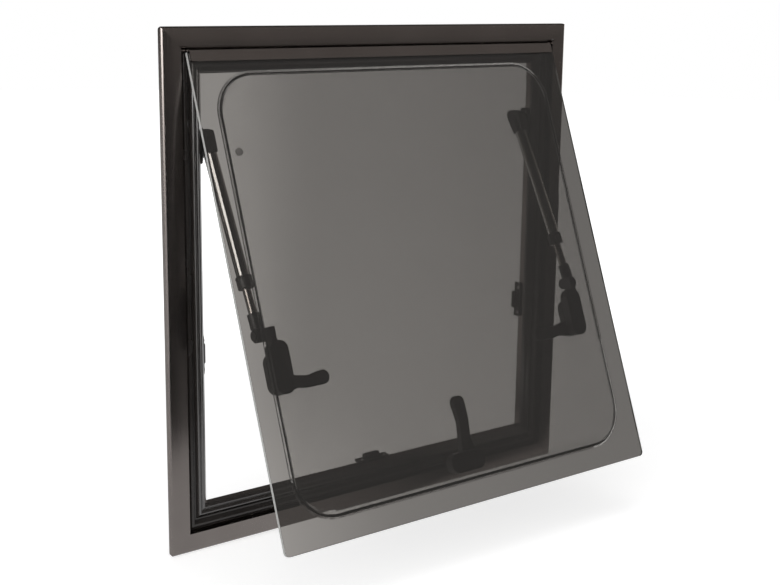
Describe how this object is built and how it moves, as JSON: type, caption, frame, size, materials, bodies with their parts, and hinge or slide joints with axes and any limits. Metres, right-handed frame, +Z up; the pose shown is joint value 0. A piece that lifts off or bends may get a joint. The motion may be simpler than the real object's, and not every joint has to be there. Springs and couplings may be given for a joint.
{
  "type": "caravan window",
  "caption": "Top-hung caravan window: tinted double acrylic sash held open by telescopic stays in a mitred bronze aluminium frame, with turning latches.",
  "frame": {"origin": "middle of the bottom rail's seating lip, on the flange face that lies against the outside of the wall", "axes": "+X to the right seen from outside, +Y into the vehicle, +Z up"},
  "size_m": [0.53, 0.2131, 0.5399],
  "materials": {
    "bronze_frame": "satin bronze anodised",
    "rubber_seal": "matt extruded rubber",
    "tinted_acrylic": "clear grey-tinted acrylic",
    "black_plastic": "moulded satin plastic",
    "stay_metal": "bright drawn tube",
    "rod_metal": "ground rod"
  },
  "bodies": {
    "frame": {"frame_top_rail": "bronze_frame", "frame_bottom_rail": "bronze_frame", "frame_left_jamb": "bronze_frame", "frame_right_jamb": "bronze_frame", "seal_top": "rubber_seal", "seal_bottom": "rubber_seal", "seal_left": "rubber_seal", "seal_right": "rubber_seal", "striker_left": "black_plastic", "striker_right": "black_plastic", "striker_bottom": "black_plastic", "stay_bracket_left": "black_plastic", "stay_bracket_right": "black_plastic"},
    "sash": {"hinge_strip": "bronze_frame", "outer_pane": "tinted_acrylic", "inner_tray": "tinted_acrylic", "breather_plug": "black_plastic", "latch_base_left": "black_plastic", "latch_cap_left": "black_plastic", "latch_base_right": "black_plastic", "latch_cap_right": "black_plastic", "latch_base_bottom": "black_plastic", "latch_cap_bottom": "black_plastic", "stay_pin_cap_left": "black_plastic", "stay_pin_cap_right": "black_plastic"},
    "stay_rod_left": {"stay_rod_left": "rod_metal", "stay_foot_left": "black_plastic"},
    "stay_tube_left": {"stay_tube_left": "stay_metal", "stay_head_left": "black_plastic", "stay_collar_left": "black_plastic"},
    "stay_rod_right": {"stay_rod_right": "rod_metal", "stay_foot_right": "black_plastic"},
    "stay_tube_right": {"stay_tube_right": "stay_metal", "stay_head_right": "black_plastic", "stay_collar_right": "black_plastic"},
    "latch_lever_left": {"latch_lever_left": "black_plastic"},
    "latch_lever_right": {"latch_lever_right": "black_plastic"},
    "latch_lever_bottom": {"latch_lever_bottom": "black_plastic"}
  },
  "joints": [
    {"name": "sash_hinge", "type": "hinge", "parent": "frame", "child": "sash", "pos_m": [0, -0.0024, 0.51925], "axis": [-1, 0, 0], "range_deg": [-21.3, 23.7]},
    {"name": "stay_foot_pivot_left", "type": "hinge", "parent": "sash", "child": "stay_rod_left", "pos_m": [-0.2075, -0.08505, 0.24504], "axis": [-1, 0, 0], "range_deg": [-7.61, 8.43]},
    {"name": "stay_slide_left", "type": "slide", "parent": "stay_rod_left", "child": "stay_tube_left", "axis": [0, 0.4788, 0.8779], "range_m": [-0.02415, 0.02681]},
    {"name": "stay_foot_pivot_right", "type": "hinge", "parent": "sash", "child": "stay_rod_right", "pos_m": [0.2075, -0.08505, 0.24504], "axis": [-1, 0, 0], "range_deg": [-7.61, 8.43]},
    {"name": "stay_slide_right", "type": "slide", "parent": "stay_rod_right", "child": "stay_tube_right", "axis": [0, 0.4788, 0.8779], "range_m": [-0.02415, 0.02681]},
    {"name": "latch_turn_left", "type": "hinge", "parent": "sash", "child": "latch_lever_left", "pos_m": [-0.19625, -0.09736, 0.21871], "axis": [0, -0.9317, 0.3633], "range_deg": [-90, 0]},
    {"name": "latch_turn_right", "type": "hinge", "parent": "sash", "child": "latch_lever_right", "pos_m": [0.19625, -0.09736, 0.21871], "axis": [0, 0.9317, -0.3633], "range_deg": [-90, 0]},
    {"name": "latch_turn_bottom", "type": "hinge", "parent": "sash", "child": "latch_lever_bottom", "pos_m": [0, -0.14721, 0.09084], "axis": [0, -0.9317, 0.3633], "range_deg": [-90, 0]}
  ],
  "couplings": [
    {"joint": "stay_foot_pivot_left", "follows": "sash_hinge", "ratio": 0.34304},
    {"joint": "stay_slide_left", "follows": "sash_hinge", "m_per_rad": 0.063606},
    {"joint": "stay_foot_pivot_right", "follows": "sash_hinge", "ratio": 0.34304},
    {"joint": "stay_slide_right", "follows": "sash_hinge", "m_per_rad": 0.063606}
  ]
}
